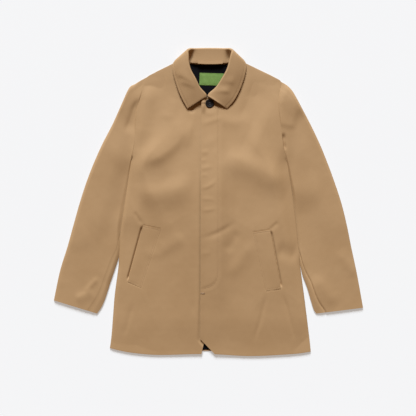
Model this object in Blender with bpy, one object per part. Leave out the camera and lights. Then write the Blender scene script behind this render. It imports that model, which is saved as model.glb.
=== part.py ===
"""A single-breasted fly-front mackintosh, laid flat on its back with its sleeves at its sides.

The coat lies on z = 0 with its collar towards +Y and its front facing up. Right and left are
the wearer's, so the coat's right side lies towards -X. Sizes are in millimetres until a mesh is made.
"""

import bmesh
import bpy
import numpy as np

MM = 0.001

# Cloth walls and the layers they make
SEAM_GAP = 0.3
BACK_WALL = 1.6
LINING_WALL = 1.0
FRONT_WALL = 1.8
SLEEVE_WALL = 1.6
COLLAR_WALL = 1.8
WELT_WALL = 1.4
LABEL_WALL = 1.0
LOOP_WALL = 1.2
FRONT_AIR = 3.5
UNDERLAP_AIR = 1.0
SLEEVE_AIR = 5.0
LINING_TOP = BACK_WALL + SEAM_GAP + LINING_WALL
FRONT_UNDERSIDE = LINING_TOP + FRONT_AIR

# Edges that fold down to the layer below, and how wide the fold is
SHOULDER_FOLD = 90.0
SHOULDER_FOLD_RUN = 20.0
SIDE_FOLD = 12.0
SLEEVE_FOLD = 20.0
SLEEVE_INNER_FOLD = 28.0
SLEEVE_CLEARANCE = 0.8
ARMHOLE_TOP_RUN = 25.0
UNDERARM_RUN, UNDERARM_LAP = 25.0, 5.0
LAID_GAP = 1.5 * SEAM_GAP

# Coat outline and landmarks
CENTRE_SHIFT = np.array((5.0, 0.258, 0.0))
COLLAR_LEAN = 0.0377
COLLAR_TOP = 443.7
RIGHT_TIP, LEFT_TIP = 362.5, 349.0
RIGHT_UNDERARM, LEFT_UNDERARM = 130.0, 125.0
NECK_FRONT = 304.5
HEM_BLEND = 110.0
HEM_LEVEL = -440.0
HEM_CORNER = 12.0
BACK_HEM_RISE = 9.0
LINING_SIDE_INSET = 11.0
LINING_SHOULDER_INSET = 66.0
LINING_SHOULDER_RUN = 30.0
LINING_SHOULDER_TOP = 392.0
LINING_HEM_RISE = 4.0


def table(names, *rows):
    """A short table as a dictionary of named columns."""
    return dict(zip(names.split(), np.array(rows, float).T))


RIGHT_EDGE = table(
    "y x",
    (414.5, -84), (399, -116), (376, -162), (362.5, -183), (319, -197), (284, -207),
    (249, -214.6), (186, -217.5), (130, -226), (49, -238), (-23, -249), (-90, -258),
    (-145, -261), (-197, -267), (-273, -277), (-331, -281.5), (-428, -289),
)
LEFT_EDGE = table(
    "y x",
    (413, 84), (401, 110), (377, 159.5), (364.5, 183), (349, 206), (313, 199.5), (278, 197),
    (241, 202), (197, 207), (168, 212), (125, 220), (93, 226), (35, 235), (-38, 245),
    (-128, 254.5), (-203, 265.5), (-302, 278), (-394, 288), (-434, 292),
)
UNDERLAP_EDGE = table("y x", (301, 13), (-357, 13), (-412, -18.6), (-440, -25))
FLY_EDGE = table("y x", (301, -25), (-397, -28), (-440, 14))
HEM = table(
    "x y",
    (-289, -424), (-270, -430), (-232, -438), (-145, -445), (-25, -442.5), (14, -442),
    (116, -448), (223, -443.5), (261, -439.5), (292, -433),
)

# Rows across the body, closer where the outline turns
SHOULDER_ROWS = (412, 406, 397, 387, 376, 362.5, 349)
CHEST_ROWS = (336, 322, 312, 304.5, 301, 286, 268, 250, 232, 214, 196, 178, 162, 146, 130, 125)
SKIRT_ROWS = (
    110, 93, 75, 55, 35, 15, -5, -25, -48, -72, -96, -122, -150, -180, -212, -245, -280, -315, -350,
    -380, -397, -412, -428, -440,
)
BODY_ROWS = np.array(SHOULDER_ROWS + CHEST_ROWS + SKIRT_ROWS, float)
FRONT_ACROSS = (
    0, 0.06, 0.13, 0.2, 0.27, 0.34, 0.41, 0.48, 0.55, 0.62, 0.69, 0.76, 0.83, 0.89, 0.94, 0.975, 1,
)

# Sections of each sleeve, from the armhole to the cuff
SLEEVE_COLUMNS = "outer_x outer_y inner_x inner_y"
RIGHT_SLEEVE = table(
    SLEEVE_COLUMNS,
    (-183, 362.5, -226, 130), (-200, 353.5, -228, 115), (-218, 342.5, -230.5, 98),
    (-235, 331, -233, 80), (-257, 284, -237, 55), (-283, 226, -244, 10), (-312, 170, -251.5, -38),
    (-338, 112, -258, -92), (-359.5, 56, -261.5, -147), (-378.5, -3, -276, -195),
    (-396, -65, -290, -236), (-414, -130, -303, -277), (-435.5, -200, -315, -305),
    (-455, -287, -328, -325),
)
LEFT_SLEEVE = table(
    SLEEVE_COLUMNS,
    (206, 349, 220, 125), (222, 340, 223, 112), (237.5, 325, 226, 93), (250, 305, 229, 73),
    (266.5, 274, 234, 42), (293.5, 222, 240, -2), (319.5, 167, 247, -60), (342.5, 110, 253, -115),
    (364, 51, 260, -172), (383, -8, 268, -212), (397.5, -68, 281, -249), (411, -135, 293, -290),
    (427, -210, 302, -313), (445, -306, 312, -325),
)
SLEEVE_ROWS = np.concatenate([np.arange(0, 4, 1), np.arange(4, 13.25, 0.5)])
SLEEVE_HEAD_ROWS = 4.0
CUFF_DROP = 2.6
CUFF_ROWS = (10.0, 13.0)

# Sections of half the collar, from the front end to the middle of the back. A section runs from
# the neck seam up the stand to the roll, turns there, and comes down the leaf to its edge. A lean
# moves both halves' points to the coat's left.
COLLAR = table(
    "seam_out seam_y seam_z roll_out roll_lean roll_y roll_z "
    "edge_out edge_lean edge_y edge_z turn stand_share",
    (4.9, 306.0, 9.2, 1.6, -3.0, 306.5, 13.0, 57.0, -1.5, 270.5, 11.5, 0, 0.0),
    (10.0, 308.5, 8.9, 2.2, -3.0, 314.0, 14.5, 61.0, -0.9, 276.0, 11.2, 0, 0.0),
    (28.1, 319.9, 7.8, 21.9, -1.6, 332.0, 18.0, 73.8, 1.2, 294.4, 10.4, 0, 0.0),
    (50.7, 341.6, 7.8, 37.9, -0.5, 356.7, 21.0, 87.0, 1.5, 320.5, 9.8, 0, 0.0),
    (67.6, 367.1, 7.6, 51.5, -1.2, 381.4, 22.0, 97.0, 1.3, 348.0, 9.6, 0, 0.0),
    (76.6, 391.5, 7.4, 57.8, -1.5, 403.1, 21.5, 104.0, 0.5, 372.7, 9.6, 0, 0.1),
    (79.9, 409.5, 6.2, 60.6, -0.5, 423.4, 20.5, 106.5, 0.0, 391.5, 9.0, 25, 0.55),
    (75.6, 411.5, 5.0, 63.2, 0.0, 436.5, 19.0, 106.1, 0.0, 405.5, 7.0, 75, 0.7),
    (64.3, 406.0, 4.2, 58.0, 0.0, 444.0, 16.5, 93.0, 0.0, 417.0, 2.2, 140, 0.7),
    (49.1, 403.0, 3.9, 43.5, 0.0, 445.2, 8.6, 66.0, 0.0, 410.0, 0.9, 172, 0.7),
    (27.3, 401.5, 3.9, 24.7, 0.0, 445.9, 7.0, 34.6, 0.0, 403.5, 0.9, 180, 0.7),
    (0.0, 401.0, 3.9, 0.0, 0.0, 446.3, 7.0, 0.0, 0.0, 402.5, 0.9, 180, 0.7),
)
COLLAR_BACK_ROW = 6
STAND_FIRST_ROW = 8.5
COLLAR_STEPS = 23
LEFT_END_LIFT = 3.0
LEFT_END_ROWS = 2.5
ROLL_RADIUS = 3.2
NECK_EDGE_CLEARANCE = 1.7

# How the fronts swell over the cloth inside, and how they sink to the neck, the hem and the fly
SWELL_HEIGHT = 10.5
SWELL = {
    -1: {"middle": 40.0, "above": 150.0, "below": 300.0},
    1: {"middle": 30.0, "above": 165.0, "below": 300.0},
}
SWELL_FADE = table("from_middle width", (-60, 32), (20, 60), (80, 130))
NECK_DROP, NECK_DROP_FROM, NECK_DROP_RUN = 3.0, 160.0, 180.0
HEM_DROP, HEM_DROP_FROM, HEM_DROP_RUN = 3.0, -340.0, 90.0
FLY_MIDDLE, FLY_HALF_WIDTH, FLY_BLEND = -6.0, 30.0, 60.0
FLY_RISE, FLY_RISE_AT, FLY_RISE_UP, FLY_RISE_DOWN = 7.0, -60.0, 230.0, 260.0
FLY_RISE_EDGE, FLY_RISE_RUN = 80.0, 60.0
UNDERLAP_FROM, UNDERLAP_RUN = -68.0, 38.0

# The largest folds: a ridge from one point to another, or a trough where the height is negative.
# It bows to its left, and is wider on one side than on the other.
FOLD_COLUMNS = "from_x from_y to_x to_y bow left right height"
FOLD_TAPER = 0.3
RIGHT_FOLDS = table(
    FOLD_COLUMNS,
    (-240, 88, -55, 222, -14, 46, 30, 6.6),
    (-105, 192, -15, 166, 0, 50, 26, 4.2),
    (-240, 20, -40, 62, -20, 50, 32, 4.5),
    (-222, 98, -128, 262, 0, 16, 40, -2.8),
)
LEFT_FOLDS = table(
    FOLD_COLUMNS,
    (20, 138, 235, 36, 9, 32, 40, 5.4),
    (115, 196, 215, 126, 0, 90, 24, 4.2),
    (86, 232, 134, 345, 0, 14, 34, -1.9),
)
SLEEVE_FOLDS = table(
    FOLD_COLUMNS,
    (-350, -160, -250, 250, 0, 60, 30, 3.6),
    (-262, -70, -232, 135, 0, 22, 14, -2.5),
    (-456, -236, -350, -248, 0, 30, 26, -2.4),
    (354, -150, 254, 250, 0, 30, 60, 3.2),
    (222, 20, 335, 36, 0, 44, 36, 3.2),
    (280, -100, 244, 60, 0, 18, 30, -3.2),
    (298, -210, 372, -306, 0, 22, 26, 3.0),
)

# Corners of the pocket welts, from the top at the side, round by the inner end
RIGHT_WELT = table("x y", (-193, -67), (-142, -78), (-200, -248), (-238, -231))
LEFT_WELT = table("x y", (173, -80), (125, -87), (162, -258), (205, -251))

# Small things at the neck
BUTTON_PLACE = (-1.0, 285.2)
BUTTON_RADIUS = 12.5
BUTTON_THICKNESS = 3.6
BUTTON_RIM = 2.4
BUTTON_DISH = 0.8
BUTTON_HOLE_RADIUS = 1.1
BUTTON_HOLE_PITCH = 2.6
LABEL_CENTRE = (4.5, 356.4)
LABEL_SIZE = (70.0, 35.5)
LABEL_TILT = -0.03
LOOP_ENDS = (-35.0, 37.0)
LOOP_WIDTH = 8.0
LOOP_END_Y = 406.5
LOOP_SAG = 1.5

# Colours of the cloths
GABARDINE = (0.43, 0.27, 0.15, 1)
LINING_COLOUR = (0.008, 0.008, 0.011, 1)
LABEL_GREEN = (0.16, 0.30, 0.06, 1)
BUTTON_COLOUR = (0.012, 0.010, 0.009, 1)


def smooth(t):
    t = np.clip(t, 0.0, 1.0)
    return t * t * (3 - 2 * t)


def edge_x(edge, y):
    return np.interp(y, edge["y"][::-1], edge["x"][::-1])


def fold_height(folds, x, y):
    """The height that the large folds add at a point."""
    total = np.zeros(np.broadcast(x, y).shape)
    for x0, y0, x1, y1, bow, left, right, height in zip(*folds.values()):
        run_x, run_y = x1 - x0, y1 - y0
        length = np.hypot(run_x, run_y)
        along = np.clip(((x - x0) * run_x + (y - y0) * run_y) / length**2, 0, 1)
        aside = ((y - y0) * run_x - (x - x0) * run_y) / length - bow * 4 * along * (1 - along)
        ends = smooth(along / FOLD_TAPER) * smooth((1 - along) / FOLD_TAPER)
        total = total + height * ends * np.exp(-((aside / np.where(aside > 0, left, right)) ** 2))
    return total


def folded_down(distance, width):
    """How far a folded edge has come up: 0 at the edge, 1 from the fold's width on."""
    return np.sin(np.pi / 2 * np.clip(distance / width, 0, 1))


def collar_axis(y):
    """The collar's middle line, which leans a little to the coat's right."""
    return -COLLAR_LEAN * (COLLAR_TOP - y)


def neck_out(y):
    """The front neckline's distance from the collar's middle line, just outside the stand."""
    front = slice(0, COLLAR_BACK_ROW + 1)
    return np.interp(y, COLLAR["seam_y"][front], COLLAR["seam_out"][front]) + NECK_EDGE_CLEARANCE


def front_inner_x(y, side):
    """The edge of a front by the neck and down the fly. side is -1 on the right and 1 on the left."""
    straight = edge_x(UNDERLAP_EDGE if side < 0 else FLY_EDGE, y)
    return np.where(y >= NECK_FRONT, collar_axis(y) + side * neck_out(y), straight)


def body_edge(side):
    return RIGHT_EDGE if side < 0 else LEFT_EDGE


def swell(x, y, side):
    """The broad rise of a front's chest and belly, which fades towards the side."""
    size = SWELL[side]
    from_middle = y - size["middle"]
    reach = np.where(from_middle > 0, size["above"], size["below"])
    fade = np.interp(from_middle, SWELL_FADE["from_middle"], SWELL_FADE["width"])
    from_side = side * (edge_x(body_edge(side), y) - x)
    return SWELL_HEIGHT * np.exp(-((from_middle / reach) ** 2)) * smooth(from_side / fade)


def laid_height(x, y, side):
    """The height of a front's underside away from its folded edges."""
    sunk = NECK_DROP * smooth((y - NECK_DROP_FROM) / NECK_DROP_RUN)
    sunk = sunk + HEM_DROP * smooth((HEM_DROP_FROM - y) / HEM_DROP_RUN)
    beside_fly = smooth((abs(x - FLY_MIDDLE) - FLY_HALF_WIDTH) / FLY_BLEND)
    height = FRONT_UNDERSIDE + swell(x, y, side) - sunk * beside_fly
    if side < 0:
        under_fly = UNDERLAP_AIR - FRONT_AIR + swell(x, y, 1) - swell(x, y, -1)
        height = height + under_fly * smooth((x - UNDERLAP_FROM) / UNDERLAP_RUN)
        return height + fold_height(RIGHT_FOLDS, x, y) * beside_fly
    along_fly = y - FLY_RISE_AT
    reach = np.where(along_fly > 0, FLY_RISE_UP, FLY_RISE_DOWN)
    rise = FLY_RISE * np.exp(-((along_fly / reach) ** 2))
    height = height + rise * smooth((FLY_RISE_EDGE - x) / FLY_RISE_RUN)
    return height + fold_height(LEFT_FOLDS, x, y) * beside_fly


def front_underside(x, y, side):
    """The height of the underside of a front above the surface the coat lies on."""
    tip, underarm = (RIGHT_TIP, RIGHT_UNDERARM) if side < 0 else (LEFT_TIP, LEFT_UNDERARM)
    armhole = (underarm - UNDERARM_RUN, underarm + UNDERARM_LAP, tip - ARMHOLE_TOP_RUN, tip)
    sewn = np.interp(y, armhole, (1, 0, 0, 1))
    width = np.interp(y, (tip - SHOULDER_FOLD_RUN, tip), (SIDE_FOLD, SHOULDER_FOLD))
    distance = side * (edge_x(body_edge(side), y) - x)
    lift = 1 - sewn * (1 - folded_down(distance, width))
    lowest = BACK_WALL + SEAM_GAP
    laid = np.maximum(laid_height(x, y, side), LINING_TOP + 2 * SEAM_GAP)
    return lowest + (laid - lowest) * lift


def make_material(name, colour, roughness):
    material = bpy.data.materials.new(name)
    material.use_nodes = True
    shader = material.node_tree.nodes["Principled BSDF"]
    shader.inputs["Base Color"].default_value = colour
    shader.inputs["Roughness"].default_value = roughness
    material.diffuse_color = colour
    return material


def add_object(name, bm, material):
    bmesh.ops.recalc_face_normals(bm, faces=bm.faces[:])
    mesh = bpy.data.meshes.new(name)
    bm.to_mesh(mesh)
    bm.free()
    mesh.materials.append(material)
    thing = bpy.data.objects.new(name, mesh)
    bpy.context.collection.objects.link(thing)
    return thing


def sheet(points):
    """A grid of faces whose corners lie on an array of points, rows by columns by three."""
    rows, columns = points.shape[0] - 1, points.shape[1] - 1
    bm = bmesh.new()
    bmesh.ops.create_grid(bm, x_segments=columns, y_segments=rows, size=0.5)
    for corner in bm.verts:
        row = round((corner.co.y + 0.5) * rows)
        column = round((corner.co.x + 0.5) * columns)
        corner.co = (points[row, column] + CENTRE_SHIFT) * MM
    return bm


def draw_down(bm, wall):
    """Makes a sheet a wall by drawing a copy of it straight down."""
    lower = bmesh.ops.extrude_face_region(bm, geom=bm.faces[:])["geom"]
    corners = [item for item in lower if isinstance(item, bmesh.types.BMVert)]
    bmesh.ops.translate(bm, verts=corners, vec=(0, 0, -wall * MM))


def cloth_wall(name, points, wall, material):
    bm = sheet(points)
    draw_down(bm, wall)
    return add_object(name, bm, material)


def flat_piece(name, outline, top, wall, material):
    """A flat piece of cloth cut to an outline."""
    bm = bmesh.new()
    corners = [bm.verts.new((np.array((x, y, top)) + CENTRE_SHIFT) * MM) for x, y in outline]
    bm.faces.new(corners)
    draw_down(bm, wall)
    return add_object(name, bm, material)


def rolled_piece(name, points, wall, material):
    """Cloth that rolls over itself: a sheet thickened to both sides."""
    thing = add_object(name, sheet(points), material)
    thicken = thing.modifiers.new("wall", "SOLIDIFY")
    thicken.thickness = wall * MM
    thicken.offset = 0
    thicken.use_even_offset = True
    return thing


def front_points(side):
    across = np.array(FRONT_ACROSS)[None, :]
    level = BODY_ROWS[:, None]
    inner = front_inner_x(level, side)
    x = inner + (edge_x(body_edge(side), level) - inner) * across
    hem_drop = np.interp(x, HEM["x"], HEM["y"]) - HEM_LEVEL
    y = level + hem_drop * smooth((HEM_LEVEL + HEM_BLEND - level) / HEM_BLEND)
    z = front_underside(x, np.broadcast_to(level, x.shape), side) + FRONT_WALL
    return np.stack([x, y, z], axis=-1)


def back_outline(side_inset, shoulder_inset, hem_rise, first_neck_row, top):
    """The back's outline from the right of the neck, down, along the hem and up to the left."""
    shoulder = (LEFT_TIP - LINING_SHOULDER_RUN, LEFT_TIP)
    inset = np.interp(BODY_ROWS, shoulder, (side_inset, shoulder_inset))
    right = np.stack([edge_x(RIGHT_EDGE, BODY_ROWS) + inset, BODY_ROWS], axis=-1)
    left = np.stack([edge_x(LEFT_EDGE, BODY_ROWS) - inset, BODY_ROWS], axis=-1)
    hem = np.stack([HEM["x"], HEM["y"] + hem_rise], axis=-1)
    above = (right[:, 1] > HEM["y"][0] + hem_rise + HEM_CORNER) & (right[:, 1] < top)
    hem[0, 0] = right[-1, 0]
    hem[-1, 0] = left[-1, 0]
    half = slice(first_neck_row, None)
    out = COLLAR["seam_out"][half]
    level = COLLAR["seam_y"][half] - NECK_EDGE_CLEARANCE
    neck_right = np.stack([collar_axis(level) - out, level], axis=-1)
    neck_left = np.stack([collar_axis(level) + out, level], axis=-1)
    return np.concatenate([neck_right[::-1], right[above], hem, left[above][::-1], neck_left[:-1]])


def armhole_rows(side):
    tip, underarm = (RIGHT_TIP, RIGHT_UNDERARM) if side < 0 else (LEFT_TIP, LEFT_UNDERARM)
    return BODY_ROWS[(BODY_ROWS <= tip) & (BODY_ROWS >= underarm)]


def sleeve_plan(side, gap):
    """Where each point of a sleeve's grid lies, seen from above: rows down the arm, columns across."""
    sections = RIGHT_SLEEVE if side < 0 else LEFT_SLEEVE
    edge = body_edge(side)
    rows = SLEEVE_ROWS
    numbers = np.arange(len(sections["outer_x"]))
    columns = (np.interp(rows, numbers, column) for column in sections.values())
    outer_x, outer_y, inner_x, inner_y = columns
    beside = edge_x(edge, inner_y) + side * SLEEVE_CLEARANCE
    inner_x = side * np.maximum(side * inner_x, side * beside)
    seam_y = armhole_rows(side)
    seam_x = edge_x(edge, seam_y) + side * gap
    across = (seam_y - seam_y[0]) / (seam_y[-1] - seam_y[0])
    x = outer_x[:, None] + (inner_x - outer_x)[:, None] * across
    y = outer_y[:, None] + (inner_y - outer_y)[:, None] * across
    bulge = seam_x - (seam_x[0] + (seam_x[-1] - seam_x[0]) * across)
    x = x + bulge * smooth(1 - rows / SLEEVE_HEAD_ROWS)[:, None]
    x[0] = seam_x
    y[0] = seam_y
    return x, y


def sleeve_points(side):
    x, y = sleeve_plan(side, SEAM_GAP)
    rows = SLEEVE_ROWS[:, None]
    from_outer = np.hypot(x - x[:, :1], y - y[:, :1])
    from_inner = np.hypot(x - x[:, -1:], y - y[:, -1:])
    free = smooth(rows / 2)
    lift = folded_down(from_outer, SLEEVE_FOLD)
    lift = lift * (1 - free * (1 - folded_down(from_inner, SLEEVE_INNER_FOLD)))
    lowest = SLEEVE_WALL + SEAM_GAP
    flat = SLEEVE_WALL + SLEEVE_AIR
    at_seam = front_underside(x[0], y[0], side)
    cuff = CUFF_DROP * smooth((rows - CUFF_ROWS[0]) / (CUFF_ROWS[1] - CUFF_ROWS[0]))
    z = lowest + (flat - lowest - cuff + fold_height(SLEEVE_FOLDS, x, y)) * lift
    head = smooth(1 - rows / SLEEVE_HEAD_ROWS)
    z = np.maximum(z + (at_seam - z[0]) * head, lowest)
    return np.stack([x, y, z + SLEEVE_WALL], axis=-1)


def sleeve_outline(side):
    x, y = sleeve_plan(side, SEAM_GAP)
    grid = np.stack([x, y], axis=-1)
    return np.concatenate([grid[0], grid[1:, -1], grid[-1, -2::-1], grid[-2:0:-1, 0]])


def collar_sections():
    """Every section of the collar from its right front end round the back to its left one."""
    numbers = np.arange(len(COLLAR["turn"]))
    steps = np.linspace(0, numbers[-1], COLLAR_STEPS)
    half = {name: np.interp(steps, numbers, column) for name, column in COLLAR.items()}
    found = []
    for side, order in ((-1, range(COLLAR_STEPS)), (1, range(COLLAR_STEPS - 2, -1, -1))):
        for number in order:
            row = {name: column[number] for name, column in half.items()}
            ends = {}
            for end in ("seam", "roll", "edge"):
                level = row[end + "_y"]
                across = collar_axis(level) + side * row[end + "_out"] + row.get(end + "_lean", 0)
                ends[end] = np.array((across, level, row[end + "_z"]))
            if side > 0:
                ends["roll"][2] += LEFT_END_LIFT * np.clip(1 - steps[number] / LEFT_END_ROWS, 0, 1)
            ends["turn"] = np.radians(row["turn"])
            ends["side"] = side
            ends["stand_share"] = row["stand_share"]
            ends["in_stand"] = steps[number] >= STAND_FIRST_ROW
            found.append(ends)
    return found


def collar_profile(seam, roll, edge, turn, side, stand_share, in_stand):
    """Points of the stand, where it has one, and of the leaf in one section."""
    inward = (seam + edge) / 2 - roll
    inward[2] = 0
    inward /= np.linalg.norm(inward)
    outward = side * np.array((-inward[1], inward[0], 0.0))
    up = np.cos(turn) * np.array((0, 0, 1.0)) + np.sin(turn) * outward
    centre = roll + inward * ROLL_RADIUS
    angles = np.radians((-90, -54, -18, 18, 54, 90))
    arc = [centre + ROLL_RADIUS * (np.sin(a) * up - np.cos(a) * inward) for a in angles]
    meet = seam + (arc[0] - seam) * stand_share
    step = (arc[0] - seam) / np.linalg.norm(arc[0] - seam) * SEAM_GAP
    stand = [seam + (meet - seam) * t for t in (0, 0.5, 1)] if in_stand else None
    under = [meet + step, (meet + step + arc[0]) / 2]
    leaf = [arc[-1] + (edge - arc[-1]) * t for t in (0.12, 0.4, 0.7, 1)]
    return stand, under + arc + leaf


def loop_points():
    """The hanger loop, lying on the inside of the stand above the neck seam."""
    x = np.linspace(LOOP_ENDS[0], LOOP_ENDS[1], 9)[:, None]
    middle = (LOOP_ENDS[0] + LOOP_ENDS[1]) / 2
    sag = 1 - ((x - middle) / (LOOP_ENDS[1] - middle)) ** 2
    y = LOOP_END_Y - LOOP_SAG * sag + LOOP_WIDTH * np.array((-0.5, 0, 0.5))[None, :]
    stand_rise = (COLLAR["roll_z"][-1] + ROLL_RADIUS - COLLAR["seam_z"][-1]) / (
        COLLAR["roll_y"][-1] - ROLL_RADIUS - COLLAR["seam_y"][-1]
    )
    stand = COLLAR["seam_z"][-1] + stand_rise * (y - COLLAR["seam_y"][-1]) + COLLAR_WALL / 2
    z = stand + LAID_GAP + LOOP_WALL
    return np.stack([np.broadcast_to(x, y.shape), y, z], axis=-1)


def welt_points(corners, side):
    """A welt from its four corners, lying on the front."""
    along = np.linspace(0, 1, 9)[:, None]
    across = np.linspace(0, 1, 4)[None, :]
    place = []
    for column in (corners["x"], corners["y"]):
        top = column[0] + (column[1] - column[0]) * across
        bottom = column[3] + (column[2] - column[3]) * across
        place.append(top + (bottom - top) * along)
    x, y = place
    z = front_underside(x, y, side) + FRONT_WALL + LAID_GAP + WELT_WALL
    return np.stack([x, y, z], axis=-1)


def make_button(material):
    """A dished button with a rim and four sewing holes."""
    x, y = BUTTON_PLACE
    base = front_underside(np.array(x), np.array(y), 1) + FRONT_WALL + LAID_GAP
    place = (np.array((x, y, base)) + CENTRE_SHIFT) * MM
    bm = bmesh.new()
    bmesh.ops.create_cone(
        bm, cap_ends=True, segments=28, radius1=BUTTON_RADIUS * MM, radius2=BUTTON_RADIUS * MM,
        depth=BUTTON_THICKNESS * MM,
    )
    top = [face for face in bm.faces if face.normal.z > 0.9]
    bmesh.ops.inset_region(bm, faces=top, thickness=BUTTON_RIM * MM)
    dish = list({corner for face in top for corner in face.verts})
    bmesh.ops.translate(bm, verts=dish, vec=(0, 0, -BUTTON_DISH * MM))
    bmesh.ops.translate(bm, verts=bm.verts[:], vec=place + np.array((0, 0, BUTTON_THICKNESS / 2 * MM)))
    button = add_object("neck_button", bm, material)
    holes = bmesh.new()
    for across in (-1, 1):
        for along in (-1, 1):
            made = bmesh.ops.create_cone(
                holes, cap_ends=True, segments=10, radius1=BUTTON_HOLE_RADIUS * MM,
                radius2=BUTTON_HOLE_RADIUS * MM, depth=4 * BUTTON_THICKNESS * MM,
            )
            spot = place + np.array((across, along, 0)) * BUTTON_HOLE_PITCH * MM
            bmesh.ops.translate(holes, verts=made["verts"], vec=spot)
    cutter = add_object("button_holes", holes, material)
    cutter.hide_render = True
    cutter.display_type = "WIRE"
    cut = button.modifiers.new("holes", "BOOLEAN")
    cut.operation = "DIFFERENCE"
    cut.solver = "EXACT"
    cut.object = cutter


def label_outline():
    half_x, half_y = LABEL_SIZE[0] / 2, LABEL_SIZE[1] / 2
    cos, sin = np.cos(LABEL_TILT), np.sin(LABEL_TILT)
    turn = np.array(((cos, -sin), (sin, cos)))
    corners = np.array(((-half_x, -half_y), (half_x, -half_y), (half_x, half_y), (-half_x, half_y)))
    return corners @ turn.T + np.array(LABEL_CENTRE)


for left_over in list(bpy.data.objects):
    bpy.data.objects.remove(left_over)

gabardine = make_material("gabardine", GABARDINE, 0.85)
lining_cloth = make_material("lining", LINING_COLOUR, 0.55)
label_weave = make_material("label_weave", LABEL_GREEN, 0.8)
button_horn = make_material("button_horn", BUTTON_COLOUR, 0.35)

back = back_outline(0, 0, BACK_HEM_RISE, COLLAR_BACK_ROW + 1, COLLAR_TOP)
flat_piece("back", back, BACK_WALL, BACK_WALL, gabardine)
lining_hem = BACK_HEM_RISE + LINING_HEM_RISE
lining = back_outline(
    LINING_SIDE_INSET, LINING_SHOULDER_INSET, lining_hem, COLLAR_BACK_ROW + 2, LINING_SHOULDER_TOP
)
flat_piece("back_lining", lining, LINING_TOP, LINING_WALL, lining_cloth)
flat_piece("neck_label", label_outline(), LINING_TOP + SEAM_GAP + LABEL_WALL, LABEL_WALL, label_weave)
for side, name in ((-1, "right"), (1, "left")):
    cloth_wall("front_" + name, front_points(side), FRONT_WALL, gabardine)
    cloth_wall(f"sleeve_{name}_top", sleeve_points(side), SLEEVE_WALL, gabardine)
    flat_piece(f"sleeve_{name}_under", sleeve_outline(side), SLEEVE_WALL, SLEEVE_WALL, gabardine)
    welt = RIGHT_WELT if side < 0 else LEFT_WELT
    cloth_wall("pocket_welt_" + name, welt_points(welt, side), WELT_WALL, gabardine)
profiles = [collar_profile(**section) for section in collar_sections()]
rolled_piece("collar_stand", np.array([stand for stand, leaf in profiles if stand]), COLLAR_WALL, gabardine)
rolled_piece("collar_fall", np.array([leaf for stand, leaf in profiles]), COLLAR_WALL, gabardine)
cloth_wall("hanger_loop", loop_points(), LOOP_WALL, gabardine)
make_button(button_horn)
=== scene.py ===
"""A tan fly-front mackintosh, laid flat on its back on a pale floor and seen from straight above.

The coat's collar lies towards +Y and its front faces up. Right and left are the wearer's.
"""

import bmesh
import bpy
import numpy as np
from mathutils import Matrix, Vector


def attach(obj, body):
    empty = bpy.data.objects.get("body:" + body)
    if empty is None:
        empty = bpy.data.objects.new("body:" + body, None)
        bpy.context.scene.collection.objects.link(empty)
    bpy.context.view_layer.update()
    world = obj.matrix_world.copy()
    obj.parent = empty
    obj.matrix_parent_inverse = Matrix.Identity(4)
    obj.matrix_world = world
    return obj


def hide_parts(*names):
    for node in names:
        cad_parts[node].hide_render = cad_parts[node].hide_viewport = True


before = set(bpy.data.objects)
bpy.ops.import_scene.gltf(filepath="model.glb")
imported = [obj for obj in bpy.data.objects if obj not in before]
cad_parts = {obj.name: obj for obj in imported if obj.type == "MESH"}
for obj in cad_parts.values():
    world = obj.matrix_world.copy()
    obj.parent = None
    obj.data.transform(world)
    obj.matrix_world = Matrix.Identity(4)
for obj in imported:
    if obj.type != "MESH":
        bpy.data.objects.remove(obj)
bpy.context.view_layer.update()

# The back
# One flat panel of tan cotton gabardine that carries the whole coat, cut with shoulders, a neck
# curve and a hem that is a little shorter than the fronts' own.
MM = 0.001
CENTRE_SHIFT = np.array((5.0, 0.258, 0.0))
SEAM_GAP = 0.3
SHARP_ANGLE = np.radians(50)
BACK_WALL = 1.6
BACK_HEM_RISE = 9.0


def columns(names, *rows):
    """A short table as a dictionary of named columns."""
    return dict(zip(names.split(), np.array(rows, float).T))


RIGHT_EDGE = columns(
    "y x",
    (414.5, -84), (398, -116), (375, -162), (362.5, -183), (319, -197), (284, -207),
    (249, -214.6), (186, -217.5), (130, -226), (49, -238), (-23, -249), (-90, -258),
    (-145, -261), (-197, -267), (-273, -277), (-331, -281.5), (-428, -289), (-440, -291),
)
LEFT_EDGE = columns(
    "y x",
    (413, 84), (400, 110), (376, 159.5), (364.5, 183), (349, 206), (313, 199.5), (278, 197),
    (241, 202), (197, 207), (168, 212), (125, 220), (93, 226), (35, 235), (-38, 245),
    (-128, 254.5), (-203, 264), (-302, 277), (-394, 288), (-434, 292), (-440, 292.5),
)
HEM = columns(
    "x y",
    (-291, -424), (-270, -429.5), (-232, -437), (-145, -444), (-25, -441.5), (14, -442),
    (116, -447.3), (223, -442.5), (261, -439.5), (292.5, -434.5),
)
BACK_NECK = columns(
    "x y",
    (-82, 413), (-74, 410.5), (-64, 408.5), (-50, 406.5), (-28, 405.2), (0, 405), (26, 405.2),
    (47, 406.5), (62, 408.5), (73, 410.5), (82, 413),
)
RIGHT_TIP, LEFT_TIP = 362.5, 349.0
RIGHT_TIP_X, LEFT_TIP_X = -183.0, 206.0
NECK_HALF = 82.0
NECK_DROP_SHARE = 0.3
FOOT_RIGHT, FOOT_WIDTH = -291.0, 584.5


def smooth(t):
    """Runs from 0 to 1 with level ends as t does, and stays there outside."""
    t = np.clip(t, 0.0, 1.0)
    return t * t * (3 - 2 * t)


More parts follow.
